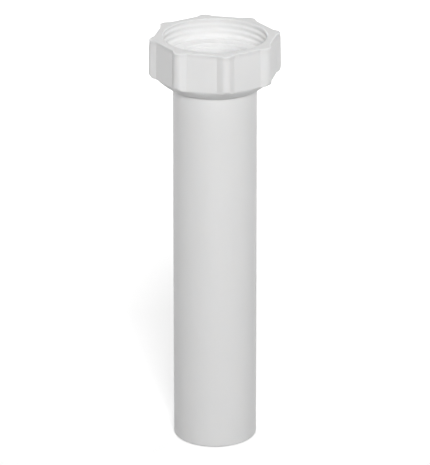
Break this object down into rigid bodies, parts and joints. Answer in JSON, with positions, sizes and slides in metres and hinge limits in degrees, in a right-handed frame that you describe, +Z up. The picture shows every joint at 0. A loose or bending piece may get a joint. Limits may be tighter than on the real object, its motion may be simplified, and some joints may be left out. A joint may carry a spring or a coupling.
{
  "type": "flanged extension pipe with coupling nut",
  "caption": "Straight white plastic waste pipe with a flange at its head, a flat sealing washer on the flange and a loose ribbed coupling nut with an internal thread.",
  "frame": {"origin": "middle of the pipe's plain end, on the surface that it stands on", "axes": "+Z up the pipe's axis towards the nut; a rib of the nut lies on each of +X, -X, +Y and -Y"},
  "size_m": [0.0504, 0.0504, 0.162],
  "materials": {
    "pipe_pvc": "satin extruded white PVC",
    "nut_pvc": "satin moulded white PVC",
    "washer_polythene": "waxy natural white polythene"
  },
  "bodies": {
    "pipe": {"flanged_pipe": "pipe_pvc", "sealing_washer": "washer_polythene"},
    "nut": {"coupling_nut": "nut_pvc"}
  },
  "joints": [
    {"name": "nut_turn", "type": "hinge", "parent": "pipe", "child": "nut", "pos_m": [0, 0, 0.1545], "axis": [0, 0, 1], "continuous": true}
  ]
}
